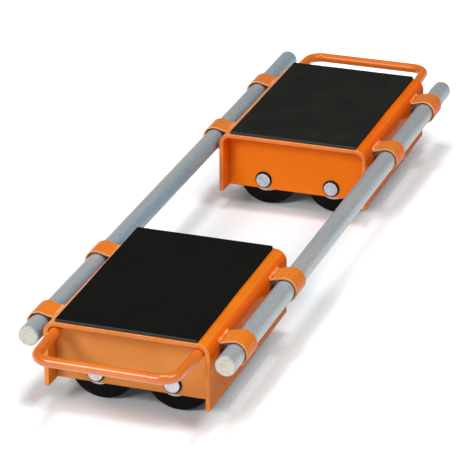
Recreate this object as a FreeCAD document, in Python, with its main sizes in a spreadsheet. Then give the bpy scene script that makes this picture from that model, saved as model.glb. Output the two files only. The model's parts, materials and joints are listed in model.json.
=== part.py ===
import FreeCAD, Part
import math
import os
import Sketcher
from types import SimpleNamespace

# A pair of machine skates on two joining bars, in millimetres.
# +Z is up from the floor, and +Y runs along the bars and the roller axles, so the pair rolls along X.
# The origin lies on the floor, midway between the skates. Near is -Y, left is -X, and a skate's outer end
# is the one with its handle.

SIZES = {
    # Pair: middle of one skate to the middle of the other.
    "skate_spacing": 579,
    # Channel: plate bent down along both sides. The bend is measured on its outer face, and the lower edge from
    # the axle's middle.
    "channel_length": 265,
    "channel_plate": 5,
    "channel_bend": 14,
    "deck_height": 106,
    "edge_below_axle": 13,
    # End plates: set back from the channel's ends, with corners that clear the bends. Their lower edge, measured
    # from the axle's middle too, ends above the channel's.
    "plate_below_axle": 12,
    "end_plate": 5,
    "end_recess": 23.5,
    "corner_gap": 1,
    # Pad: rubber sheet on the deck, a little short of the channel's sides and ends.
    "pad_side_margin": 14,
    "pad_end_margin": 1.5,
    "pad_thickness": 4,
    "pad_bevel": 0.8,
    # Handle: round rod whose legs start in the channel's upper corners and draw in towards the grip. It reaches
    # out from the channel's end, and its bend follows the rod's middle line.
    "handle_rod": 12,
    "handle_taper": 3.5,
    "handle_reach": 75,
    "handle_bend": 19,
    "handle_gap": 0.3,
    # Loops: flat strap bent round each bar, its ends on the channel's side. The legs draw in by the leg drop
    # on their way to the flange's inner face, where the outline is cut off.
    "loop_width": 32,
    "loop_end_margin": 30.5,
    "loop_strap": 2,
    "loop_drop": 5.5,
    "loop_leg_drop": 5.5,
    "loop_play": 1.1,
    "bar_seat_gap": 0.3,
    # Bars: level at their near ends; the left one reaches further past the far loops.
    "bar_diameter": 24,
    "bar_side_gap": 6,
    "near_overhang": 32,
    "left_far_overhang": 101.5,
    "right_far_overhang": 57,
    "bar_chamfer": 1.2,
    # Axles: each held between the end plates by a ring in a groove.
    "axle_diameter": 20,
    "axle_overhang": 3.5,
    "axle_chamfer": 1.2,
    "axle_fit": 0.05,
    "groove_depth": 0.5,
    "ring_thickness": 1.2,
    "ring_play": 0.05,
    "ring_width": 1.4,
    "ring_opening": 3,
    # Rollers: two on each axle, a gap apart. The row gap is between the axles' rollers, and the side gap between
    # them and the channel.
    "roller_diameter": 80,
    "roller_edge": 4,
    "roller_gap": 5,
    "roller_row_gap": 10.4,
    "roller_side_gap": 6.8,
    "bearing_shoulder": 4,
    # Ball bearings: shielded, one in each end of a roller.
    "bearing_outside": 42,
    "bearing_width": 12,
    "outer_ring_wall": 3,
    "inner_ring_wall": 3.5,
    "shield_thickness": 0.6,
    "shield_inset": 0.5,
    "shield_gap": 0.3,
    "seat_fit": 0.02,
    # Spacers on the axle, which touch only the bearings' inner rings.
    "spacer_wall": 3,
    "washer_diameter": 34,
    "washer_rim": 4,
    "washer_boss": 6.5,
    # How far a cut runs past the face it leaves.
    "overrun": 2,
}


class Size:
    """A length: its number, and the formula over the sheet that it follows."""

    def __init__(self, number, formula):
        self.number = number
        self.formula = formula

    def __add__(self, other):
        return Size(self.number + other.number, f"({self.formula} + {other.formula})")

    def __sub__(self, other):
        return Size(self.number - other.number, f"({self.formula} - {other.formula})")

    def __mul__(self, factor):
        return Size(self.number * factor, f"({self.formula} * {factor})")

    def __truediv__(self, divisor):
        return Size(self.number / divisor, f"({self.formula} / {divisor})")

    def __neg__(self):
        return Size(-self.number, f"(-{self.formula})")


ZERO = Size(0, "0")
PLACES = {-1: "left", 1: "right"}
# About how far, in degrees, a loop's strap turns each way round its bar before its legs run straight.
LOOP_TURN = 110
# Share of a step into a square corner, along its diagonal, that goes each way.
DIAGONAL_SHARE = math.sqrt(0.5)
doc = FreeCAD.newDocument("machine_skates")
sheet = doc.addObject("Spreadsheet::Sheet", "Sizes")
for row, (name, number) in enumerate(SIZES.items(), start=1):
    sheet.set(f"A{row}", name)
    sheet.set(f"B{row}", str(number))
    sheet.setAlias(f"B{row}", name)
doc.recompute()
size = SimpleNamespace(**{name: Size(number, f"Sizes.{name}") for name, number in SIZES.items()})

# Levels above the floor, and distances from a skate's middle, that several pieces share.
axle_height = size.roller_diameter / 2
axle_offset = (size.roller_row_gap + size.roller_diameter) / 2
axle_radius = size.axle_diameter / 2
half_width = axle_offset + size.roller_diameter / 2 + size.roller_side_gap + size.channel_plate
half_length = size.channel_length / 2
deck_underside = size.deck_height - size.channel_plate
flange_bottom = axle_height - size.edge_below_axle
bend_side = half_width - size.channel_bend
bend_height = size.deck_height - size.channel_bend
inner_bend = size.channel_bend - size.channel_plate
end_face = half_length - size.end_recess
end_inside = end_face - size.end_plate
rod_radius = size.handle_rod / 2
rod_nest = (inner_bend - size.handle_gap - rod_radius) * DIAGONAL_SHARE
loop_end = half_length - size.loop_end_margin
loop_offset = loop_end - size.loop_width / 2
loop_inside = size.bar_diameter / 2 + size.loop_play
loop_outside = loop_inside + size.loop_strap
loop_height = size.deck_height - size.loop_drop - loop_outside
bar_height = loop_height - size.loop_play + size.bar_seat_gap
bar_side = half_width + size.bar_side_gap + size.bar_diameter / 2

# Stations along an axle, from its middle to the near side of an end plate.
on_axle = axle_radius + size.seat_fit
inner_ring_radius = on_axle + size.inner_ring_wall
spacer_radius = on_axle + size.spacer_wall
roller_start = size.roller_gap / 2
roller_end = end_inside - size.washer_rim - size.washer_boss
roller_width = roller_end - roller_start
roller_middle = (roller_start + roller_end) / 2
bearing_radius = size.bearing_outside / 2
ring_station = end_face + size.ring_play + size.ring_thickness / 2


def bind(item, **sizes):
    """Ties properties of an item to formulas over the sheet."""
    for name, value in sizes.items():
        item.setExpression(name, value.formula)


def new_body(label):
    """An empty body, which may hold several equal pieces."""
    body = doc.addObject("PartDesign::Body", label)
    body.Label = label
    body.AllowCompound = True
    return body


def plane_of(body, role):
    """A plane or axis of the body's own origin."""
    return next(item for item in body.Origin.OriginFeatures if item.Role == role)


def new_sketch(body, role):
    """An empty sketch on one of the body's own planes."""
    sketch = body.newObject("Sketcher::SketchObject", "outline")
    sketch.AttachmentSupport = [(plane_of(body, role), "")]
    sketch.MapMode = "FlatFace"
    return sketch


def hold(sketch, kind, element, point, value):
    """Holds a point of a sketch element at a distance, across or up, from the sketch's origin."""
    row = sketch.addConstraint(Sketcher.Constraint(kind, -1, 1, element, point, value.number))
    sketch.setExpression(f"Constraints[{row}]", value.formula)


def tie(sketch, element, point, x, y):
    """Holds a point of a sketch element at x, y."""
    hold(sketch, "DistanceX", element, point, x)
    hold(sketch, "DistanceY", element, point, y)


def hold_radius(sketch, element, radius):
    """Ties the radius of a circle or an arc."""
    row = sketch.addConstraint(Sketcher.Constraint("Radius", element, radius.number))
    sketch.setExpression(f"Constraints[{row}]", radius.formula)


def draw_line(sketch, start, end):
    """A line between two places, each tied."""
    places = [FreeCAD.Vector(x.number, y.number, 0) for x, y in (start, end)]
    line = sketch.addGeometry(Part.LineSegment(*places))
    tie(sketch, line, 1, *start)
    tie(sketch, line, 2, *end)
    return line


def draw_polygon(sketch, corners):
    """Straight lines round the corners, each corner tied in place."""
    points = [FreeCAD.Vector(x.number, y.number, 0) for x, y in corners]
    ends = points[1:] + points[:1]
    lines = [sketch.addGeometry(Part.LineSegment(start, end)) for start, end in zip(points, ends)]
    for line, following in zip(lines, lines[1:] + lines[:1]):
        sketch.addConstraint(Sketcher.Constraint("Coincident", line, 2, following, 1))
    for line, (x, y) in zip(lines, corners):
        tie(sketch, line, 1, x, y)


def draw_rectangle(sketch, left, right, bottom, top):
    """A rectangle between two pairs of sides."""
    draw_polygon(sketch, [(left, bottom), (right, bottom), (right, top), (left, top)])


def draw_circle(sketch, x, y, radius):
    """A circle about x, y."""
    middle = FreeCAD.Vector(x.number, y.number, 0)
    circle = sketch.addGeometry(Part.Circle(middle, FreeCAD.Vector(0, 0, 1), radius.number))
    tie(sketch, circle, 3, x, y)
    hold_radius(sketch, circle, radius)


def draw_arc(sketch, x, y, radius, start, end):
    """An arc about x, y, between two angles in degrees; its ends are left for the next lines to settle."""
    middle = FreeCAD.Vector(x.number, y.number, 0)
    circle = Part.Circle(middle, FreeCAD.Vector(0, 0, 1), radius.number)
    arc = sketch.addGeometry(Part.ArcOfCircle(circle, math.radians(start), math.radians(end)))
    tie(sketch, arc, 3, x, y)
    hold_radius(sketch, arc, radius)
    return arc


def join_line(sketch, start, end):
    """A line between two points of other elements, each given as element and point number."""
    places = [sketch.getPoint(*point) for point in (start, end)]
    line = sketch.addGeometry(Part.LineSegment(*places))
    for own, point in zip((1, 2), (start, end)):
        sketch.addConstraint(Sketcher.Constraint("Coincident", line, own, *point))


def draw_leg(sketch, arc, point, x, y):
    """A line that runs smoothly out of an arc's end to about x, y; only its reach across is tied."""
    far_end = FreeCAD.Vector(x.number, y.number, 0)
    line = sketch.addGeometry(Part.LineSegment(sketch.getPoint(arc, point), far_end))
    sketch.addConstraint(Sketcher.Constraint("Tangent", line, 1, arc, point))
    hold(sketch, "DistanceX", line, 2, x)
    return line


def pad_about(body, sketch, length):
    """A pad that runs equally to both sides of its sketch."""
    pad = body.newObject("PartDesign::Pad", "pad")
    pad.Profile = sketch
    pad.SideType = "Symmetric"
    bind(pad, Length=length)


def pocket_about(body, sketch, length):
    """A pocket that cuts equally to both sides of its sketch."""
    pocket = body.newObject("PartDesign::Pocket", "pocket")
    pocket.Profile = sketch
    pocket.SideType = "Symmetric"
    bind(pocket, Length=length)


def revolve(body, sketch):
    """A full turn of a sketch about its upright axis."""
    turned = body.newObject("PartDesign::Revolution", "turned")
    turned.Profile = sketch
    turned.ReferenceAxis = (sketch, ["V_Axis"])


def round_edges(body, radius, chosen):
    """Rounds those edges of a body's last feature that a test chooses."""
    doc.recompute()
    base = body.Tip
    fillet = body.newObject("PartDesign::Fillet", "rounding")
    fillet.Base = (base, [f"Edge{i}" for i, edge in enumerate(base.Shape.Edges, start=1) if chosen(edge)])
    bind(fillet, Radius=radius)


def runs_along(level, side):
    """A test for the straight edges of a channel or plate at a level and at a distance to either side."""

    def chosen(edge):
        middle = edge.CenterOfMass
        at_level = math.isclose(middle.z, level.number, abs_tol=size.seat_fit.number)
        at_side = math.isclose(abs(middle.x), side.number, abs_tol=size.seat_fit.number)
        return at_level and at_side

    return chosen


def is_rim(radius):
    """A test for the round edges of a turned piece that have a radius."""

    def chosen(edge):
        return hasattr(edge.Curve, "Radius") and math.isclose(edge.Curve.Radius, radius.number)

    return chosen


def turned_piece(label, outlines):
    """Pieces turned about the Y axis; each outline is a list of radius and place along the axis."""
    body = new_body(label)
    sketch = new_sketch(body, "XY_Plane")
    for corners in outlines:
        draw_polygon(sketch, corners)
    revolve(body, sketch)
    return body


def ring_outline(inside, outside, start, end):
    """Section of a plain ring or tube."""
    return [(inside, start), (outside, start), (outside, end), (inside, end)]


def mirrored(corners):
    """An outline turned over to the other end of its axis."""
    return [(radius, -along) for radius, along in reversed(corners)]


def make_channel(label):
    """Plate with both long sides bent down, open at both ends."""
    body = new_body(label)
    sketch = new_sketch(body, "XZ_Plane")
    inside = half_width - size.channel_plate
    right = [
        (half_width, size.deck_height),
        (half_width, flange_bottom),
        (inside, flange_bottom),
        (inside, deck_underside),
    ]
    draw_polygon(sketch, right + [(-x, z) for x, z in reversed(right)])
    pad_about(body, sketch, size.channel_length)
    round_edges(body, size.channel_bend, runs_along(size.deck_height, half_width))
    round_edges(body, inner_bend, runs_along(deck_underside, inside))
    return body


def make_end_plate(label):
    """Plate across the channel, with a hole for each axle near its lower edge."""
    body = new_body(label)
    side = half_width - size.channel_plate
    sketch = new_sketch(body, "XZ_Plane")
    draw_rectangle(sketch, -side, side, axle_height - size.plate_below_axle, deck_underside)
    pad_about(body, sketch, size.end_plate)
    round_edges(body, inner_bend + size.corner_gap, runs_along(deck_underside, side))
    holes = new_sketch(body, "XZ_Plane")
    for x in (-axle_offset, axle_offset):
        draw_circle(holes, x, axle_height, axle_radius + size.axle_fit)
    pocket_about(body, holes, size.end_plate + size.overrun)
    return body


def make_pad(label):
    """Rubber sheet with a bevel round its upper edge."""
    body = new_body(label)
    sketch = new_sketch(body, "XY_Plane")
    side = half_width - size.pad_side_margin
    end = half_length - size.pad_end_margin
    draw_rectangle(sketch, -side, side, -end, end)
    sheet_pad = body.newObject("PartDesign::Pad", "pad")
    sheet_pad.Profile = sketch
    bind(sheet_pad, Length=size.pad_thickness)
    doc.recompute()
    faces = enumerate(sheet_pad.Shape.Faces, start=1)
    top = max(faces, key=lambda entry: entry[1].CenterOfMass.z)[0]
    bevel = body.newObject("PartDesign::Chamfer", "bevel")
    bevel.Base = (sheet_pad, [f"Face{top}"])
    bind(bevel, Size=size.pad_bevel)
    return body


def make_handle(label):
    """Round rod bent to a U from the grip's middle to both legs, which are cut flush with the end plate's face."""
    body = new_body(label)
    root_side = bend_side + rod_nest
    grip = rod_radius - size.end_recess - size.handle_reach
    turn_side = root_side - size.handle_taper - size.handle_bend
    turn_along = grip + size.handle_bend
    path = new_sketch(body, "XY_Plane")
    bend = draw_arc(path, turn_side, turn_along, size.handle_bend, 270, 360)
    for point, x, y in ((1, ZERO, grip), (2, root_side, size.overrun)):
        straight = draw_leg(path, bend, point, x, y)
        hold(path, "DistanceY", straight, 2, y)
    section = new_sketch(body, "YZ_Plane")
    draw_circle(section, grip, ZERO, rod_radius)
    rod = body.newObject("PartDesign::AdditivePipe", "rod")
    rod.Profile = section
    rod.Spine = path
    both_halves = body.newObject("PartDesign::Mirrored", "both_halves")
    both_halves.TransformMode = "Whole shape"
    both_halves.MirrorPlane = (plane_of(body, "YZ_Plane"), [""])
    body.Tip = both_halves
    ends = new_sketch(body, "XY_Plane")
    widest = root_side + rod_radius + size.overrun
    draw_rectangle(ends, -widest, widest, ZERO, size.overrun * 2)
    pocket_about(body, ends, size.handle_rod + size.overrun)
    return body


def make_loop(label):
    """Flat strap bent round a bar, its legs cut to sit on the channel's bend and flange."""
    body = new_body(label)
    sketch = new_sketch(body, "XZ_Plane")
    leg_end = half_width - size.channel_plate
    leg_rise = loop_outside - size.loop_leg_drop
    outer = draw_arc(sketch, bar_side, loop_height, loop_outside, -LOOP_TURN, LOOP_TURN)
    inner = draw_arc(sketch, bar_side, loop_height, loop_inside, -LOOP_TURN, LOOP_TURN)
    for point, rise in ((1, -leg_rise), (2, leg_rise)):
        outer_leg = draw_leg(sketch, outer, point, leg_end, loop_height + rise)
        hold(sketch, "DistanceY", outer_leg, 2, loop_height + rise)
        inner_leg = draw_leg(sketch, inner, point, leg_end, loop_height)
        sketch.addConstraint(Sketcher.Constraint("Parallel", inner_leg, outer_leg))
        join_line(sketch, (outer_leg, 2), (inner_leg, 2))
    pad_about(body, sketch, size.loop_width)
    seat = new_sketch(body, "XZ_Plane")
    bend = draw_arc(seat, bend_side, bend_height, size.channel_bend, 0, 90)
    hold(seat, "DistanceY", bend, 1, bend_height)
    hold(seat, "DistanceX", bend, 2, bend_side)
    bottom = draw_line(seat, (half_width, flange_bottom), (bend_side, flange_bottom))
    join_line(seat, (bend, 1), (bottom, 1))
    join_line(seat, (bend, 2), (bottom, 2))
    pocket_about(body, seat, size.loop_width + size.overrun)
    return body


def make_axle(label):
    """Round steel axle with chamfered ends and a groove outside each end plate."""
    groove_end = end_face + size.ring_thickness + size.ring_play * 2
    groove_radius = axle_radius - size.groove_depth
    end = end_face + size.axle_overhang
    half = [
        (axle_radius, end_face),
        (groove_radius, end_face),
        (groove_radius, groove_end),
        (axle_radius, groove_end),
        (axle_radius, end - size.axle_chamfer),
        (axle_radius - size.axle_chamfer, end),
        (ZERO, end),
    ]
    return turned_piece(label, [mirrored(half) + half])


def make_retaining_rings(label):
    """Snap rings, one in each groove of an axle, open at the bottom."""
    body = new_body(label)
    inside = axle_radius - size.groove_depth + size.seat_fit
    outside = inside + size.ring_width
    ring = new_sketch(body, "XZ_Plane")
    draw_circle(ring, ZERO, ZERO, outside)
    draw_circle(ring, ZERO, ZERO, inside)
    pad_about(body, ring, size.ring_thickness)
    opening = new_sketch(body, "XZ_Plane")
    half_opening = size.ring_opening / 2
    draw_rectangle(opening, -half_opening, half_opening, -(outside + size.overrun), ZERO)
    pocket_about(body, opening, size.ring_thickness + size.overrun)
    pair = body.newObject("PartDesign::LinearPattern", "pair")
    pair.TransformMode = "Whole shape"
    pair.Direction = (plane_of(body, "Y_Axis"), [""])
    pair.Mode = "Extent"
    pair.Occurrences = 2
    bind(pair, Length=ring_station * 2)
    body.Tip = pair
    return body


def make_roller(label):
    """Roller with a seat for a bearing in each end and a through bore between them."""
    seat = bearing_radius + size.seat_fit
    end = roller_width / 2
    step = end - size.bearing_width
    tread = size.roller_diameter / 2
    bore = bearing_radius - size.bearing_shoulder
    half = [(tread, end), (seat, end), (seat, step), (bore, step)]
    body = turned_piece(label, [half + mirrored(half)])
    round_edges(body, size.roller_edge, is_rim(tread))
    return body


def bearing_stations():
    """Start and end, along the axle, of the bearings on its positive half."""
    inner = (roller_start, roller_start + size.bearing_width)
    outer = (roller_end - size.bearing_width, roller_end)
    return [inner, outer]


def make_outer_rings(label):
    """Outer rings of a roller's two bearings, each with a shield inside both its faces."""
    race = bearing_radius - size.outer_ring_wall
    lip = inner_ring_radius + size.shield_gap
    outlines = []
    for start, end in bearing_stations():
        middle = (start + end) / 2
        half_bearing = size.bearing_width / 2
        shield_outside = half_bearing - size.shield_inset
        shield_inside = shield_outside - size.shield_thickness
        half = [
            (bearing_radius, half_bearing),
            (race, half_bearing),
            (race, shield_outside),
            (lip, shield_outside),
            (lip, shield_inside),
            (race, shield_inside),
        ]
        section = half + mirrored(half)
        outlines.append([(radius, along + middle - roller_middle) for radius, along in section])
    return turned_piece(label, outlines)


def make_inner_rings(label):
    """Inner rings of the four bearings on an axle."""
    half = [ring_outline(on_axle, inner_ring_radius, *station) for station in bearing_stations()]
    return turned_piece(label, half + [mirrored(outline) for outline in half])


def make_spacer_tubes(label):
    """Tubes that keep the bearings of an axle apart: one in each roller and a short one between the rollers."""
    (_, tube_start), (tube_end, _) = bearing_stations()
    tube = ring_outline(on_axle, spacer_radius, tube_start, tube_end)
    between = ring_outline(on_axle, spacer_radius, -roller_start, roller_start)
    return turned_piece(label, [tube, mirrored(tube), between])


def make_side_washers(label):
    """Wide washers at an axle's ends, each with a boss that meets the bearing's inner ring."""
    rim_face = end_inside - size.washer_rim
    rim_radius = size.washer_diameter / 2
    washer = [
        (on_axle, end_inside),
        (on_axle, roller_end),
        (spacer_radius, roller_end),
        (spacer_radius, rim_face),
        (rim_radius, rim_face),
        (rim_radius, end_inside),
    ]
    return turned_piece(label, [washer, mirrored(washer)])


def make_bar(label, length):
    """Solid round bar with chamfered ends, drawn from its near end."""
    radius = size.bar_diameter / 2
    narrow = radius - size.bar_chamfer
    outline = [
        (ZERO, ZERO),
        (narrow, ZERO),
        (radius, size.bar_chamfer),
        (radius, length - size.bar_chamfer),
        (narrow, length),
        (ZERO, length),
    ]
    return turned_piece(label, [outline])


def place(body, x, y, z, half_turn):
    """Puts a body's origin at x, y, z, turned half round about +Z or not."""
    turn = FreeCAD.Rotation(FreeCAD.Vector(0, 0, 1), 180 if half_turn else 0)
    body.Placement = FreeCAD.Placement(FreeCAD.Vector(), turn)
    for axis, value in zip("xyz", (x, y, z)):
        body.setExpression(f"Placement.Base.{axis}", value.formula)
    return body


def make_skate(name, far):
    """One skate's pieces. The far skate is the near one turned half round, so that both handles face outwards."""
    pieces = []
    middle = size.skate_spacing / 2 if far else -size.skate_spacing / 2

    def seat(body, x, y, z, half_turn=False):
        turned_y = middle - y if far else middle + y
        pieces.append(place(body, -x if far else x, turned_y, z, half_turn != far))

    def side_name(side):
        return PLACES[-side if far else side]

    plate_middle = end_face - size.end_plate / 2
    seat(make_channel(f"{name}_channel"), ZERO, ZERO, ZERO)
    seat(make_end_plate(f"{name}_outer_end_plate"), ZERO, -plate_middle, ZERO)
    seat(make_end_plate(f"{name}_inner_end_plate"), ZERO, plate_middle, ZERO)
    seat(make_pad(f"{name}_pad"), ZERO, ZERO, size.deck_height)
    seat(make_handle(f"{name}_handle"), ZERO, -end_face, bend_height + rod_nest)
    for side in (-1, 1):
        for end, along in (("outer", -loop_offset), ("inner", loop_offset)):
            seat(make_loop(f"{name}_{side_name(side)}_{end}_loop"), ZERO, along, ZERO, side < 0)
        axle = f"{name}_{side_name(side)}"
        spot = (axle_offset * side, ZERO, axle_height)
        seat(make_axle(f"{axle}_axle"), *spot)
        seat(make_inner_rings(f"{axle}_bearing_inner_rings"), *spot)
        seat(make_spacer_tubes(f"{axle}_spacer_tubes"), *spot)
        seat(make_side_washers(f"{axle}_side_washers"), *spot)
        seat(make_retaining_rings(f"{axle}_retaining_rings"), spot[0], -ring_station, axle_height)
        for end, along in (("outer", -roller_middle), ("inner", roller_middle)):
            roller = f"{axle}_{end}_roller"
            seat(make_roller(roller), spot[0], along, axle_height)
            seat(make_outer_rings(f"{roller}_bearing_rings"), spot[0], along, axle_height)
    return pieces


def make_bars():
    """Both joining bars, resting in the loops with their near ends level."""
    last_loop = size.skate_spacing / 2 + loop_end
    start = -(last_loop + size.near_overhang)
    left = make_bar("left_bar", last_loop + size.left_far_overhang - start)
    right = make_bar("right_bar", last_loop + size.right_far_overhang - start)
    return [place(left, -bar_side, start, bar_height, False), place(right, bar_side, start, bar_height, False)]


pieces = make_skate("near", False) + make_skate("far", True) + make_bars()
doc.recompute()

for item in doc.Objects:
    if {"Invalid", "Error"} & set(item.State):
        raise RuntimeError(f"{item.Label} is not built: {item.State}")
for piece in pieces:
    if piece.Shape.isNull() or not piece.Shape.isValid() or not piece.Shape.Solids:
        raise RuntimeError(f"{piece.Label} has no sound solid")

os.makedirs("parts", exist_ok=True)
for piece in pieces:
    piece.Shape.exportStep(f"parts/{piece.Label}.step")
    box = piece.Shape.BoundBox
    low = (round(box.XMin, 2), round(box.YMin, 2), round(box.ZMin, 2))
    high = (round(box.XMax, 2), round(box.YMax, 2), round(box.ZMax, 2))
    print(piece.Label, len(piece.Shape.Solids), round(piece.Shape.Volume), low, high)
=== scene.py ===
"""Looks of a pair of machine skates on joining bars.

Paint, rubber, zinc, steel and weld beads, seen in a white studio. Lengths are in metres.
"""
import json
import math
import bmesh
import bpy
from mathutils import Matrix, Vector


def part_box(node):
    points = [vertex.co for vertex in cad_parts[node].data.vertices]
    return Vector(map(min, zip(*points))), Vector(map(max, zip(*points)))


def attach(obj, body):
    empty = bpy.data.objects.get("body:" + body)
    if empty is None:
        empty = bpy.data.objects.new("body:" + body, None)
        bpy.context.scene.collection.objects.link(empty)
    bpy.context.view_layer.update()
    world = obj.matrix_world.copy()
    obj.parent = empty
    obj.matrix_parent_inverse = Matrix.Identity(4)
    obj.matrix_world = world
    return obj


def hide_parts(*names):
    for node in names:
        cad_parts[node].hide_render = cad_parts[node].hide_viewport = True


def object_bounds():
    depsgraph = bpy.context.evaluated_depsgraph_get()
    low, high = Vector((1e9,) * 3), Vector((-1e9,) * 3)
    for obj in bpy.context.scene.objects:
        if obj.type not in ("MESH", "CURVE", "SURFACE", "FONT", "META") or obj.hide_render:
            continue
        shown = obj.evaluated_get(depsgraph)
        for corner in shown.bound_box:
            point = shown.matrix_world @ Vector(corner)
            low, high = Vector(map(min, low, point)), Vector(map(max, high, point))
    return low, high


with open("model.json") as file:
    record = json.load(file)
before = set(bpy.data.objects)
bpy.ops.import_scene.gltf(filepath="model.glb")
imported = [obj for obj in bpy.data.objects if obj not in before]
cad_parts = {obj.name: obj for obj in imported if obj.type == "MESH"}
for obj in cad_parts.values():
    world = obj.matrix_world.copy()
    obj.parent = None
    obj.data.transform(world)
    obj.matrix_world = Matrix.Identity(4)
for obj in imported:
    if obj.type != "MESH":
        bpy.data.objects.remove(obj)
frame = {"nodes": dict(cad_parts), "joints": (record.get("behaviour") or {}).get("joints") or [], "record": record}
cad_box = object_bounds()

# Skates, their ends, the sign of each side along X, and the sign of each skate's outward way along Y.
SKATES = ("near", "far")
ENDS = ("outer", "inner")
SIDES = {"left": -1, "right": 1}
OUTWARD = {"near": -1, "far": 1}


def axle_place():
    """Distance of the roller axles from the pair's middle plane, and their height."""
    spin = next(joint for joint in frame["joints"] if joint["name"] == "near_right_outer_roller_spin")
    across, _, up = spin["pos_m"]
    return across, up


# Places that repeat along the pair: distance from its middle plane, and height.
AXLE = axle_place()
LOOP_TOP_CORNER = (0.0964, 0.0962)
LOOP_LOW_CORNER = (0.0970, 0.0745)
HANDLE_ROOT = (0.0849, 0.0939)

# Paint: a deep and a bright tone between which it clouds, and how much clear coat the grips have.
TONES = {
    "near": ((0.74, 0.165, 0.006, 1), (0.82, 0.200, 0.010, 1)),
    "far": ((0.80, 0.130, 0.002, 1), (0.88, 0.165, 0.004, 1)),
}
OUTER_PLATE = ((0.65, 0.232, 0.049, 1), (0.72, 0.268, 0.063, 1))
INNER_PLATE = ((0.86, 0.180, 0.007, 1), (0.89, 0.195, 0.006, 1))
GRIP = ((0.68, 0.140, 0.006, 1), (0.76, 0.170, 0.010, 1))
GRIP_COAT = {"near": 1.0, "far": 0.45}

# Paint in places: painted light on the channels' shoulders, a painted reflection on the loops' tops, pale paint
# for worn paint and painted highlights, a painted highlight on the left bends, and painted shade in corners and
# low down.
SHOULDER_LIGHTING = {"near": (0.92, 0.135, 0.004, 1), "far": (0.88, 0.120, 0.003, 1)}
CROWN_REFLECTION = {"near": (0.72, 0.190, 0.018, 1), "far": (0.68, 0.195, 0.030, 1)}
THIN_PAINT_AND_HIGHLIGHT = (0.98, 0.62, 0.34, 1)
LEFT_BEND_HIGHLIGHT = (0.66, 0.36, 0.16, 1)
CORNER_SHADE = (0.17, 0.050, 0.010, 1)
LOW_SHADE = (0.30, 0.13, 0.045, 1)

# Painted light and shade on the channels: the sideways facing or the height where each sets in and is full, and
# its share.
SHOULDER_FACING = (0.55, 0.80)
SHOULDER_HEIGHTS = (0.080, 0.090)
BEND_HIGHLIGHT_ABOVE = (0.40, 0.55)
BEND_HIGHLIGHT_BELOW = (0.72, 0.58)
BEND_HIGHLIGHT_SHARE = 0.05
LEFT_BEND_FACING = (-0.12, -0.40)
LEFT_BEND_HEIGHTS = (0.094, 0.099)
LEFT_BEND_SHARE = 0.7
LOW_SHADE_HEIGHTS = (0.078, 0.040)
LOW_SHADE_SHARE = 0.38

# Rubber and plastic: a dark and a light tone, and the tone of the rubber's cut ends.
PAD_TONES = {
    "near": ((0.003, 0.003, 0.002, 1), (0.006, 0.006, 0.005, 1)),
    "far": ((0.011, 0.011, 0.009, 1), (0.019, 0.019, 0.016, 1)),
}
PAD_CUT_END = (0.050, 0.060, 0.062, 1)
ROLLER_TONES = ((0.002, 0.002, 0.002, 1), (0.008, 0.007, 0.006, 1))

# Steels: a dark and a light tone, the range of roughness, and the radius past which the steel is dark with scale
# and painted shade.
STEELS = {
    "axle_steel": {
        "tones": ((0.48, 0.50, 0.58, 1), (0.61, 0.63, 0.70, 1)),
        "roughness": (0.26, 0.40),
        "bright_radius": 0.0088,
    },
    "bearing_steel": {
        "tones": ((0.52, 0.52, 0.54, 1), (0.64, 0.64, 0.65, 1)),
        "roughness": (0.22, 0.36),
    },
    "spacer_zinc": {
        "tones": ((0.46, 0.45, 0.40, 1), (0.58, 0.57, 0.52, 1)),
        "roughness": (0.34, 0.50),
    },
    "ring_steel": {
        "tones": ((0.040, 0.032, 0.028, 1), (0.085, 0.070, 0.062, 1)),
        "roughness": (0.34, 0.50),
    },
}
DARK_SCALE_AND_SHADE = (0.050, 0.038, 0.034, 1)
SCALE_FADE = 0.0003
BRIGHT_ALL_OVER = 1.0

# Zinc plating: the tones of its bands, a painted bluish shade for the inner sides, its spangle, and two for its
# sawn ends.
LAVENDER_ZINC = (0.42, 0.42, 0.455, 1)
BLUE_ZINC = (0.375, 0.44, 0.475, 1)
WARM_ZINC = (0.465, 0.45, 0.42, 1)
INNER_SIDE_SHADE = (0.20, 0.40, 0.52, 1)
SPANGLE_ZINC = (0.57, 0.60, 0.60, 1)
SAWN_END = ((0.49, 0.46, 0.38, 1), (0.60, 0.56, 0.47, 1))

# Rubber sheets: rounding of the corners, wander of the edges, and inset at each share of the thickness.
SHEET_CORNER = 0.0016
SHEET_WANDER = 0.00012
WANDER_TURN = 9.0
CORNER_STEPS = 4
EDGE_STEPS = 24
SHEET_PROFILE = [
    (0.0003, 0.0),
    (0.0, 0.15),
    (0.0, 0.76),
    (0.00012, 0.87),
    (0.0004, 0.955),
    (0.0009, 0.995),
    (0.0022, 1.0),
]
# How far the corners of each sheet lie sideways from a square one's; the near sheet was cut less true.
SHEET_DRIFT = {
    "near": {"front_left": -0.0006, "back_left": -0.0042, "front_right": -0.0006, "back_right": -0.0022},
    "far": {"front_left": 0.0, "back_left": -0.0006, "front_right": 0.0, "back_right": 0.0},
}

# Weld beads: radius and spacing of the ripples, place off the corner or round the leg, and count of steps.
LOOP_BEAD = {"radius": 0.0022, "pitch": 0.0034}
LOOP_BEAD_OUT = 0.0003
LOOP_BEAD_RISE = 0.0006
LOOP_BEAD_STEPS = 60
ROOT_BEAD = {"radius": 0.0016, "pitch": 0.0026}
ROOT_BEAD_OUT = 0.0006
ROOT_BEAD_REACH = 0.0064
ROOT_BEAD_STEPS = 48
# A bead's section: its sides, the shares by which it ripples and swells, and how it is drawn in at an end.
BEAD_SIDES = 10
RIPPLE_SHARE = 0.10
SWELL_SHARE = 0.06
SWELL_TURN = 0.41
BEAD_END_SHARE = 0.35
BEAD_END_RATE = 7.0
MERGE_DISTANCE = 1e-7

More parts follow.
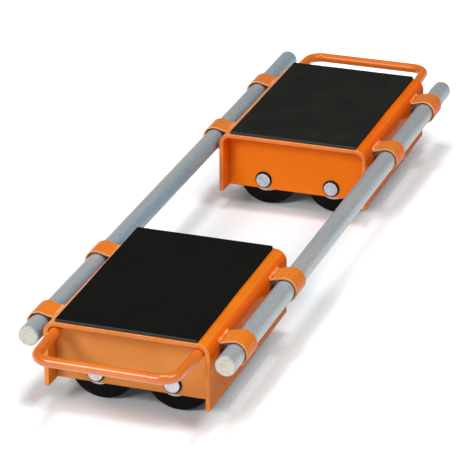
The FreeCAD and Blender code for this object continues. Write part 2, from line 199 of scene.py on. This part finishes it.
# Floor: its tone, and radius and height along its upturned rim.
FLOOR_WHITE = (0.87, 0.91, 0.93, 1)
FLOOR_RIM = [(11.0, 0.0), (12.5, 0.15), (13.4, 0.7), (13.7, 1.8)]
FLOOR_SIDES = 96
# The footprint that keeps its shadow ends short of the grips and is drawn in on the right.
GRIP_REACH = 0.038
SHADOW_SHIFT = 0.016
# How the floor's lift to white grows with the distance outside that footprint.
LIFT_CLOSE_BY = {"low": -0.03, "high": 0.07, "start": 0.03, "end": 0.55}
LIFT_FAR_OFF = {"low": 1.0, "high": 4.0, "start": 0.0, "end": 0.45}

# Light: softboxes with their power in watts, the front one where the grips mirror it, and an even sky.
SOFTBOXES = {
    "overhead_softbox": {"place": (0.0, -0.2, 3.6), "size": 0.6, "power": 46.0},
    "right_softbox": {"place": (1.9, -0.75, 2.75), "size": 1.4, "power": 47.0},
    "front_softbox": {"place": (-1.26, -3.2, 2.41), "size": 1.4, "power": 92.0},
}
SKY_COLOUR = (0.90, 0.96, 1.0, 1)
SKY_STRENGTH = 0.13

# Camera: angles in degrees, and the place that it looks at.
CAMERA_AZIMUTH = 19.19
CAMERA_ELEVATION = 24.05
CAMERA_ROLL = -0.11
CAMERA_TARGET = (-0.00935, -0.01968, 0.050)
CAMERA_DISTANCE = 3.51863
CLIP_END = 100.0
# Framing in pixels of the photograph, and the sensor's width in millimetres.
PICTURE_WIDTH = 470
FOCAL_LENGTH = 2898.11
FRAMING_SHIFT = (-3.93, 1.35)
SENSOR_WIDTH = 36.0


class Surface:
    """A procedural material: one Principled shader and short calls for the nodes that feed it."""

    # Rays at a point, the likeness of normals that makes an edge, and the openness that makes a corner.
    SAMPLES = 8
    EDGE_LIKENESS = (0.995, 0.80)
    CORNER_OPENNESS = (0.60, 0.25)

    def __init__(self, name, **constants):
        self.material = bpy.data.materials.new(name)
        self.material.use_nodes = True
        self.tree = self.material.node_tree
        self.shader = self.tree.nodes["Principled BSDF"]
        for socket, value in constants.items():
            self.shader.inputs[socket.replace("_", " ")].default_value = value
        coordinates = self.add("ShaderNodeTexCoord").outputs
        self.place = coordinates["Object"]
        self.normal = coordinates["Normal"]

    def add(self, kind, inputs=(), **settings):
        """A node with its settings, and its inputs given as values or as other nodes' outputs."""
        node = self.tree.nodes.new(kind)
        for name, value in settings.items():
            setattr(node, name, value)
        for key, value in dict(inputs).items():
            self.feed(node.inputs[key], value)
        return node

    def feed(self, socket, value):
        """Links an output to a socket, or sets the socket's value."""
        if isinstance(value, bpy.types.NodeSocket):
            self.tree.links.new(value, socket)
        else:
            socket.default_value = value

    def set(self, socket, value):
        """Feeds one socket of the shader."""
        self.feed(self.shader.inputs[socket], value)

    def maths(self, operation, first, second=0.0):
        """Arithmetic on two values, or on the first alone."""
        return self.add("ShaderNodeMath", {0: first, 1: second}, operation=operation).outputs["Value"]

    def product(self, *factors):
        """Values multiplied together."""
        result = factors[0]
        for factor in factors[1:]:
            result = self.maths("MULTIPLY", result, factor)
        return result

    def larger(self, first, second):
        """The larger of two values."""
        return self.maths("MAXIMUM", first, second)

    def unsigned(self, value):
        """A value without its sign."""
        return self.maths("ABSOLUTE", value)

    def part_of(self, vector, axis):
        """The part of a vector along an axis."""
        return self.add("ShaderNodeSeparateXYZ", {"Vector": vector}).outputs[axis]

    def along(self, axis):
        """The place along an axis of the object."""
        return self.part_of(self.place, axis)

    def facing(self, axis):
        """How far the surface faces along an axis of the object, from -1 to 1."""
        return self.part_of(self.normal, axis)

    def stretched(self, factors):
        """The place on the object, scaled along X, Y and Z."""
        inputs = {"Vector": self.place, "Scale": factors}
        return self.add("ShaderNodeMapping", inputs).outputs["Vector"]

    def noise(self, scale, detail=2.0):
        """Cloudy noise of about 0.3 to 0.7. Its scale is per metre, one number or one for each axis."""
        place = self.place
        if isinstance(scale, tuple):
            place = self.stretched(scale)
            scale = 1.0
        inputs = {"Vector": place, "Scale": scale, "Detail": detail}
        return self.add("ShaderNodeTexNoise", inputs).outputs["Fac"]

    def cells(self, scale):
        """A random shade for each of many small cells, with a scale per metre."""
        inputs = {"Vector": self.place, "Scale": scale}
        colour = self.add("ShaderNodeTexVoronoi", inputs).outputs["Color"]
        return self.add("ShaderNodeSeparateColor", {"Color": colour}).outputs["Red"]

    def span(self, value, low, high, start=0.0, end=1.0):
        """A value's range from low to high, laid out smoothly from start to end."""
        inputs = {"Value": value, "From Min": low, "From Max": high, "To Min": start, "To Max": end}
        return self.add("ShaderNodeMapRange", inputs, interpolation_type="SMOOTHSTEP").outputs["Result"]

    def mix(self, share, first, second):
        """A colour between two others."""
        node = self.add("ShaderNodeMix", data_type="RGBA")
        named = {socket.identifier: socket for socket in node.inputs}
        self.feed(named["Factor_Float"], share)
        self.feed(named["A_Color"], first)
        self.feed(named["B_Color"], second)
        return next(socket for socket in node.outputs if socket.identifier == "Result_Color")

    def bump(self, height, strength, distance, normal=None):
        """Small relief; another normal may lie below it."""
        inputs = {"Height": height, "Strength": strength, "Distance": distance}
        if normal:
            inputs["Normal"] = normal
        return self.add("ShaderNodeBump", inputs).outputs["Normal"]

    def rounded(self, radius):
        """The normal as if the sharp edges were rounded, and how near to such an edge a point is."""
        normal = self.add("ShaderNodeBevel", {"Radius": radius}, samples=self.SAMPLES).outputs["Normal"]
        true = self.add("ShaderNodeNewGeometry").outputs["True Normal"]
        inputs = {0: normal, 1: true}
        likeness = self.add("ShaderNodeVectorMath", inputs, operation="DOT_PRODUCT").outputs["Value"]
        return normal, self.span(likeness, *self.EDGE_LIKENESS)

    def corners(self, reach):
        """How far a point lies in a corner where several faces meet, from 0 to 1."""
        inputs = {"Distance": reach}
        openness = self.add("ShaderNodeAmbientOcclusion", inputs, samples=self.SAMPLES).outputs["AO"]
        return self.span(openness, *self.CORNER_OPENNESS)

    def distance_from(self, centre):
        """Distance from a lengthwise axis that lies at the same offset on either side."""
        across = self.maths("SUBTRACT", self.unsigned(self.along("X")), centre[0])
        up = self.maths("SUBTRACT", self.along("Z"), centre[1])
        square = self.maths("ADD", self.maths("POWER", across, 2.0), self.maths("POWER", up, 2.0))
        return self.maths("SQRT", square)

    def rings(self, centre, pitch):
        """Fine turning marks about an axis."""
        return self.maths("SINE", self.product(self.distance_from(centre), 2 * math.pi / pitch))


def channel_tone(paint, tone, shoulder_lighting):
    """A channel's tone: painted light on the shoulders, a painted highlight line on the bends and a tan one on the
    left bend, and painted shade low down.
    """
    height = paint.along("Z")
    sideways = paint.unsigned(paint.facing("X"))
    # Painted light: the upper sides, where they face sideways, turn a deeper, redder orange.
    upper_flank = paint.span(height, *SHOULDER_HEIGHTS)
    tone = paint.mix(paint.product(paint.span(sideways, *SHOULDER_FACING), upper_flank), tone, shoulder_lighting)
    # Painted highlight: a faint pale line along each bend.
    bend_highlight = paint.span(sideways, *BEND_HIGHLIGHT_BELOW, end=BEND_HIGHLIGHT_SHARE)
    tone = paint.mix(paint.product(paint.span(sideways, *BEND_HIGHLIGHT_ABOVE), bend_highlight), tone, THIN_PAINT_AND_HIGHLIGHT)
    # Painted highlight: a tan band high on the left bends.
    left_bend_highlight = paint.span(paint.facing("X"), *LEFT_BEND_FACING, end=LEFT_BEND_SHARE)
    tone = paint.mix(paint.product(left_bend_highlight, paint.span(height, *LEFT_BEND_HEIGHTS)), tone, LEFT_BEND_HIGHLIGHT)
    # Painted shade: the sides darken towards the bottom, broken up in patches.
    low_shade = paint.product(paint.span(height, *LOW_SHADE_HEIGHTS, end=LOW_SHADE_SHARE), sideways)
    splashed = paint.span(paint.noise(45.0, detail=5.0), 0.30, 0.65, start=0.45)
    return paint.mix(paint.product(low_shade, splashed), tone, LOW_SHADE)


def orange_paint(
        name, deep, bright, coat=0.0, shine=0.06, peel=0.10, cut_edge_wear_and_highlight=0.0, blotches=0.0, corner_shade=0.3,
        shoulder_lighting=None, crown_reflection=None):
    """Enamel: clouded, with orange peel, painted shade in corners, thin paint on welds and scuffs, and thin paint
    with a painted highlight on upward edges and cut faces.
    """
    paint = Surface(name, Coat_Weight=coat, Coat_Roughness=0.26, Coat_IOR=1.6, Specular_IOR_Level=shine)
    normal, edge = paint.rounded(radius=0.0022)
    tone = paint.mix(paint.span(paint.noise(13.0, detail=3.0), 0.35, 0.65), deep, bright)
    if shoulder_lighting:
        tone = channel_tone(paint, tone, shoulder_lighting)
    # Painted reflection: faces turned upward take a duller, paler tone.
    if crown_reflection:
        tone = paint.mix(paint.span(paint.facing("Z"), 0.30, 0.95), tone, crown_reflection)
    # Painted shade: corners where faces meet are darkened.
    tone = paint.mix(paint.product(paint.corners(reach=0.015), corner_shade), tone, CORNER_SHADE)
    # Thin paint and a painted highlight: edges that face upward turn pale, in patches.
    upward = paint.span(paint.part_of(normal, "Z"), -0.1, 0.6)
    patchy = paint.span(paint.noise(120.0, detail=4.0), 0.3, 0.6, start=0.55)
    worn_and_highlit_edges = paint.product(edge, upward, patchy, 0.8)
    # Thin paint and a painted highlight: faces turned along the length turn pale, in patches.
    cut = paint.span(paint.unsigned(paint.facing("Y")), 0.7, 0.95, end=cut_edge_wear_and_highlight)
    blotched = paint.span(paint.noise(110.0, detail=3.0), 0.30, 0.70, end=blotches)
    thin = paint.larger(paint.larger(worn_and_highlit_edges, paint.product(cut, patchy)), blotched)
    scuff = paint.span(paint.noise((30.0, 420.0, 270.0), detail=5.0), 0.68, 0.74, end=0.08)
    orange_peel = paint.noise(420.0, detail=1.0)
    paint.set("Base Color", paint.mix(scuff, paint.mix(thin, tone, THIN_PAINT_AND_HIGHLIGHT), THIN_PAINT_AND_HIGHLIGHT))
    paint.set("Roughness", paint.span(paint.noise(70.0, detail=4.0), 0.3, 0.7, start=0.26, end=0.40))
    paint.set("Normal", paint.bump(orange_peel, strength=peel, distance=0.0004, normal=normal))
    return paint.material


def rubber(name, dark, light):
    """Hard rubber: pebbled skin with dusty clouds, and slate-grey cut ends."""
    skin = Surface(name, Specular_IOR_Level=0.10)
    clouds = skin.span(skin.noise(24.0, detail=5.0), 0.40, 0.70)
    grain = skin.span(skin.noise(600.0), 0.35, 0.65)
    dust = skin.product(clouds, skin.span(grain, 0.0, 1.0, start=0.35))
    cut = skin.span(skin.unsigned(skin.facing("Y")), 0.5, 0.9, end=0.9)
    pebbles = skin.maths("ADD", grain, skin.cells(420.0))
    skin.set("Base Color", skin.mix(cut, skin.mix(dust, dark, light), PAD_CUT_END))
    skin.set("Roughness", skin.span(clouds, 0.0, 1.0, start=0.80, end=0.95))
    skin.set("Normal", skin.bump(pebbles, strength=0.35, distance=0.0005))
    return skin.material


def roller_black():
    """Black polyamide: turning marks on the ends and a scuffed tread."""
    nylon = Surface("roller_black", Specular_IOR_Level=0.10)
    normal, edge = nylon.rounded(radius=0.001)
    clouds = nylon.span(nylon.noise(55.0, detail=5.0), 0.42, 0.68)
    worn = nylon.larger(nylon.product(clouds, 0.6), nylon.product(edge, 0.5))
    turned = nylon.rings(AXLE, pitch=0.0009)
    nylon.set("Base Color", nylon.mix(worn, *ROLLER_TONES))
    nylon.set("Roughness", nylon.span(clouds, 0.0, 1.0, start=0.42, end=0.62))
    nylon.set("Normal", nylon.bump(turned, strength=0.10, distance=0.0002, normal=normal))
    return nylon.material


def bar_zinc():
    """Zinc-plated drawn bar: bands of lavender, blue and warm grey, painted bluish shade on the inner sides, pale
    sawn ends.
    """
    zinc = Surface("bar_zinc", Metallic=0.35, Specular_IOR_Level=0.4)
    drawn = zinc.noise((900.0, 7.0, 900.0), detail=3.0)
    bands = zinc.span(zinc.noise((150.0, 5.0, 150.0)), 0.35, 0.65)
    warm = zinc.span(zinc.noise((110.0, 7.0, 110.0)), 0.45, 0.65)
    plated = zinc.mix(warm, zinc.mix(bands, LAVENDER_ZINC, BLUE_ZINC), WARM_ZINC)
    # Painted shade: the sides that face the other bar are darker and bluer.
    outward = zinc.product(zinc.facing("X"), zinc.maths("SIGN", zinc.along("X")))
    plated = zinc.mix(zinc.span(outward, -0.1, -0.8, end=0.75), plated, INNER_SIDE_SHADE)
    plated = zinc.mix(zinc.span(zinc.cells(420.0), 0.0, 1.0, end=0.32), plated, SPANGLE_ZINC)
    mottle = zinc.noise((120.0, 120.0, 330.0), detail=3.0)
    sawn = zinc.mix(zinc.span(mottle, 0.3, 0.7), *SAWN_END)
    end = zinc.span(zinc.unsigned(zinc.facing("Y")), 0.85, 0.95)
    relief = zinc.maths("ADD", drawn, zinc.product(mottle, end))
    zinc.set("Base Color", zinc.mix(end, plated, sawn))
    zinc.set("Roughness", zinc.span(drawn, 0.3, 0.7, start=0.36, end=0.52))
    zinc.set("Normal", zinc.bump(relief, strength=0.12, distance=0.0002))
    return zinc.material


def turned_steel(name, tones, roughness, bright_radius=BRIGHT_ALL_OVER):
    """Turned or plated steel: rings about the axle, a bloom of handling marks, dark scale and painted shade past a
    radius.
    """
    steel = Surface(name, Metallic=1.0, Anisotropic=0.7)
    tangent = steel.add("ShaderNodeTangent", direction_type="RADIAL", axis="Y").outputs["Tangent"]
    normal, edge = steel.rounded(radius=0.0006)
    bloom = steel.span(steel.noise(160.0, detail=4.0), 0.35, 0.7)
    metal = steel.mix(steel.larger(bloom, edge), *tones)
    # Scale and painted shade: past the bright radius, the axle's chamfer and side are dark.
    scale = steel.span(steel.distance_from(AXLE), bright_radius, bright_radius + SCALE_FADE)
    turned = steel.rings(AXLE, pitch=0.0007)
    steel.set("Base Color", steel.mix(scale, metal, DARK_SCALE_AND_SHADE))
    steel.set("Roughness", steel.span(bloom, 0.0, 1.0, *roughness))
    steel.set("Normal", steel.bump(turned, strength=0.08, distance=0.0001, normal=normal))
    steel.set("Tangent", tangent)
    return steel.material


def skate_paints(skate):
    """The paints of a skate's handle, channel, loops and welds."""
    tones = TONES[skate]
    return {
        "handle": orange_paint(f"{skate}_handle_paint", *GRIP, coat=GRIP_COAT[skate], peel=0.03),
        "channel": orange_paint(
            f"{skate}_channel_paint", *tones,
            shine=0.02, cut_edge_wear_and_highlight=0.18, corner_shade=0.1, shoulder_lighting=SHOULDER_LIGHTING[skate]),
        "loop": orange_paint(
            f"{skate}_loop_paint", *tones,
            coat=0.03, cut_edge_wear_and_highlight=0.6, crown_reflection=CROWN_REFLECTION[skate]),
        "weld": orange_paint(f"{skate}_weld_paint", *tones, coat=0.1, shine=0.12, blotches=0.55),
    }


paints = {skate: skate_paints(skate) for skate in SKATES}
# The outer plates have far more painted shade in their corners than the inner ones.
plate_paints = {
    "outer": orange_paint("outer_plate_paint", *OUTER_PLATE, corner_shade=0.9),
    "inner": orange_paint("inner_plate_paint", *INNER_PLATE, corner_shade=0.1),
}
pads = {skate: rubber(f"{skate}_pad", *PAD_TONES[skate]) for skate in SKATES}
finishes = {name: turned_steel(name, **looks) for name, looks in STEELS.items()}
finishes["roller_black"] = roller_black()
finishes["bar_zinc"] = bar_zinc()


def finish_of(node, slot):
    """The finish for a node: paint by the words of its name, rubber by skate, anything else by its slot."""
    words = node.split("_")
    if slot == "pad_rubber":
        return pads[words[0]]
    if slot != "orange_paint":
        return finishes[slot]
    if node.endswith("end_plate"):
        return plate_paints[words[1]]
    return paints[words[0]][words[-1]]


for part in frame["record"]["subparts"]:
    for holder in frame["nodes"][part["node"]].material_slots:
        holder.material = finish_of(part["node"], part["material_slot"])


def full_turn(steps):
    """Angles of a full turn in even steps."""
    return [2 * math.pi * step / steps for step in range(steps)]


def add_piece(name, mesh, material, body):
    """Puts a new mesh into the scene as a piece that rides on a body."""
    piece = bpy.data.objects.new(name, mesh)
    bpy.context.scene.collection.objects.link(piece)
    mesh.materials.append(material)
    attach(piece, body)
    return piece


def loft(bm, outlines):
    """Skins a row of closed outlines of equal point count, and returns the new vertices by outline."""
    rows = [[bm.verts.new(point) for point in outline] for outline in outlines]
    count = len(rows[0])
    for row, following in zip(rows, rows[1:]):
        for i in range(count):
            j = (i + 1) % count
            bm.faces.new((row[i], row[j], following[j], following[i]))
    return rows


def finish_mesh(bm, name):
    """A smooth-shaded mesh with outward faces from a bmesh."""
    bmesh.ops.recalc_face_normals(bm, faces=bm.faces)
    for face in bm.faces:
        face.smooth = True
    mesh = bpy.data.meshes.new(name)
    bm.to_mesh(mesh)
    bm.free()
    return mesh


def sheet_outline(low, high, drift, inset, height):
    """Outline of a hand-cut sheet: rounded corners, sides out of square, and edges that wander a little."""
    corner = SHEET_CORNER
    centres = [
        (high.x - corner + drift["back_right"], high.y - corner),
        (low.x + corner + drift["back_left"], high.y - corner),
        (low.x + corner + drift["front_left"], low.y + corner),
        (high.x - corner + drift["front_right"], low.y + corner),
    ]
    points = []
    for index, (x, y) in enumerate(centres):
        for step in range(CORNER_STEPS + 1):
            angle = math.pi / 2 * (index + step / CORNER_STEPS)
            points.append(Vector((x + corner * math.cos(angle), y + corner * math.sin(angle), height)))
        target = centres[(index + 1) % len(centres)]
        square_on = math.pi / 2 * (index + 1)
        outward = Vector((math.cos(square_on), math.sin(square_on), 0))
        for step in range(1, EDGE_STEPS):
            share = step / EDGE_STEPS
            straight = Vector((x, y, height)).lerp(Vector((*target, height)), share) + outward * corner
            wave = (1 - math.cos(2 * math.pi * share)) * (1 + math.sin(WANDER_TURN * share + index))
            points.append(straight - outward * (SHEET_WANDER * wave))
    middle = Vector(((low.x + high.x) / 2, (low.y + high.y) / 2, height))
    shrink = Matrix.Diagonal((1 - 2 * inset / (high.x - low.x), 1 - 2 * inset / (high.y - low.y), 1))
    return [middle + shrink @ (point - middle) for point in points]


def make_sheet(skate):
    """Rubber sheet with a softened upper edge, in place of the plain pad."""
    low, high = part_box(f"{skate}_pad")
    thick = high.z - low.z
    drift = SHEET_DRIFT[skate]
    bm = bmesh.new()
    rows = loft(bm, [
        sheet_outline(low, high, drift, inset, low.z + thick * level) for inset, level in SHEET_PROFILE
    ])
    bm.faces.new(rows[-1])
    bm.faces.new(list(reversed(rows[0])))
    mesh = finish_mesh(bm, f"{skate}_rubber_sheet")
    pad = add_piece(f"{skate}_rubber_sheet", mesh, pads[skate], f"{skate}_skate")
    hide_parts(f"{skate}_pad")


def bead_rings(path, radius, pitch, closed=False):
    """Outlines of a weld bead along a path: rippled, and drawn in at its ends unless it is closed."""
    outlines = []
    travelled = 0.0
    for index, point in enumerate(path):
        before = path[index - 1] if closed or index else point
        after = path[(index + 1) % len(path)] if closed or index + 1 < len(path) else point
        along = (after - before).normalized()
        travelled += (point - path[index - 1]).length if index else 0.0
        ripple = RIPPLE_SHARE * abs(math.sin(math.pi * travelled / pitch))
        swell = SWELL_SHARE * math.sin(SWELL_TURN * index)
        share = index / (len(path) - 1)
        taper = 1.0 if closed else min(1.0, BEAD_END_SHARE + BEAD_END_RATE * min(share, 1 - share))
        side = along.orthogonal().normalized()
        other = along.cross(side)
        size = radius * (1.0 + ripple + swell) * taper
        outlines.append([
            point + (side * math.cos(turn) + other * math.sin(turn)) * size
            for turn in full_turn(BEAD_SIDES)
        ])
    return outlines


def add_loop_beads(bm, skate):
    """Beads along the upper and lower corner of each loop, where it meets the channel."""
    for side, sign in SIDES.items():
        for end in ENDS:
            low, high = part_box(f"{skate}_{side}_{end}_loop")
            length = high.y - low.y
            stations = [low.y + length * step / LOOP_BEAD_STEPS for step in range(LOOP_BEAD_STEPS + 1)]
            for (x, z), rise in ((LOOP_TOP_CORNER, LOOP_BEAD_RISE), (LOOP_LOW_CORNER, -LOOP_BEAD_RISE)):
                path = [Vector((sign * (x + LOOP_BEAD_OUT), y, z + rise)) for y in stations]
                rows = loft(bm, bead_rings(path, **LOOP_BEAD))
                bm.faces.new(list(reversed(rows[0])))
                bm.faces.new(rows[-1])


def add_root_beads(bm, skate):
    """Beads round the handle's legs, where they meet the end plate."""
    low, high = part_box(f"{skate}_outer_end_plate")
    face = low.y if skate == "near" else high.y
    across, up = HANDLE_ROOT
    for sign in SIDES.values():
        path = [
            Vector((
                sign * across + ROOT_BEAD_REACH * math.cos(turn),
                face + OUTWARD[skate] * ROOT_BEAD_OUT,
                up + ROOT_BEAD_REACH * math.sin(turn),
            ))
            for turn in full_turn(ROOT_BEAD_STEPS)
        ]
        rings = bead_rings(path, **ROOT_BEAD, closed=True)
        loft(bm, rings + rings[:1])


def make_welds(skate):
    """All the weld beads of a skate, as one piece."""
    bm = bmesh.new()
    add_loop_beads(bm, skate)
    add_root_beads(bm, skate)
    bmesh.ops.remove_doubles(bm, verts=bm.verts, dist=MERGE_DISTANCE)
    mesh = finish_mesh(bm, f"{skate}_welds")
    add_piece(f"{skate}_welds", mesh, paints[skate]["weld"], f"{skate}_skate")


for skate in SKATES:
    make_sheet(skate)
    make_welds(skate)


def floor_white():
    """White floor, lifted for the eye to plain white outside the pair's footprint."""
    ground = Surface("floor_white", Base_Color=FLOOR_WHITE, Roughness=1.0, Specular_IOR_Level=0.0)
    rays = ground.add("ShaderNodeLightPath").outputs
    seen = ground.larger(rays["Is Camera Ray"], rays["Is Glossy Ray"])
    seen = ground.larger(seen, rays["Is Transmission Ray"])
    high = cad_box[1]
    from_middle = ground.unsigned(ground.maths("ADD", ground.along("X"), SHADOW_SHIFT))
    sideways = ground.maths("SUBTRACT", from_middle, high[0] - SHADOW_SHIFT)
    endways = ground.maths("SUBTRACT", ground.unsigned(ground.along("Y")), high[1] - GRIP_REACH)
    outside = ground.larger(sideways, endways)
    lift = ground.maths("ADD", ground.span(outside, **LIFT_CLOSE_BY), ground.span(outside, **LIFT_FAR_OFF))
    ground.set("Emission Color", (1, 1, 1, 1))
    ground.set("Emission Strength", ground.product(seen, lift))
    return ground.material


def make_floor():
    """A wide round floor with a low upturned rim."""
    turns = full_turn(FLOOR_SIDES)
    bm = bmesh.new()
    rows = loft(bm, [
        [(far * math.cos(turn), far * math.sin(turn), up) for turn in turns] for far, up in FLOOR_RIM
    ])
    bm.faces.new(rows[0])
    floor = bpy.data.objects.new("floor", finish_mesh(bm, "floor"))
    bpy.context.scene.collection.objects.link(floor)
    floor.data.materials.append(floor_white())


def make_lamp(name, place, size, power):
    """A square softbox that faces the middle of the pair."""
    lamp = bpy.data.lights.new(name, "AREA")
    lamp.shape = "SQUARE"
    lamp.size = size
    lamp.energy = power
    holder = bpy.data.objects.new(name, lamp)
    holder.location = place
    holder.rotation_euler = (-Vector(place)).to_track_quat("-Z", "Y").to_euler()
    bpy.context.scene.collection.objects.link(holder)


def make_sky():
    """An even, dim sky."""
    world = bpy.data.worlds.new("studio")
    world.use_nodes = True
    sky = world.node_tree.nodes["Background"]
    sky.inputs["Color"].default_value = SKY_COLOUR
    sky.inputs["Strength"].default_value = SKY_STRENGTH
    bpy.context.scene.world = world


def make_camera():
    """A long lens at the photograph's angle, with the small shift of its framing."""
    azimuth = math.radians(CAMERA_AZIMUTH)
    elevation = math.radians(CAMERA_ELEVATION)
    back = Vector((
        math.sin(azimuth) * math.cos(elevation),
        -math.cos(azimuth) * math.cos(elevation),
        math.sin(elevation),
    ))
    camera = bpy.data.cameras.new("camera")
    camera.sensor_width = SENSOR_WIDTH
    camera.lens = SENSOR_WIDTH * FOCAL_LENGTH / PICTURE_WIDTH
    camera.shift_x = FRAMING_SHIFT[0] / PICTURE_WIDTH
    camera.shift_y = FRAMING_SHIFT[1] / PICTURE_WIDTH
    camera.clip_end = CLIP_END
    holder = bpy.data.objects.new("camera", camera)
    roll = Matrix.Rotation(math.radians(CAMERA_ROLL), 3, "Z")
    turn = back.to_track_quat("Z", "Y").to_matrix() @ roll
    place = Vector(CAMERA_TARGET) + back * CAMERA_DISTANCE
    holder.matrix_world = Matrix.Translation(place) @ turn.to_4x4()
    bpy.context.scene.collection.objects.link(holder)
    bpy.context.scene.camera = holder


make_floor()
for name, softbox in SOFTBOXES.items():
    make_lamp(name, **softbox)
make_sky()
make_camera()
bpy.context.scene.view_settings.view_transform = "Standard"
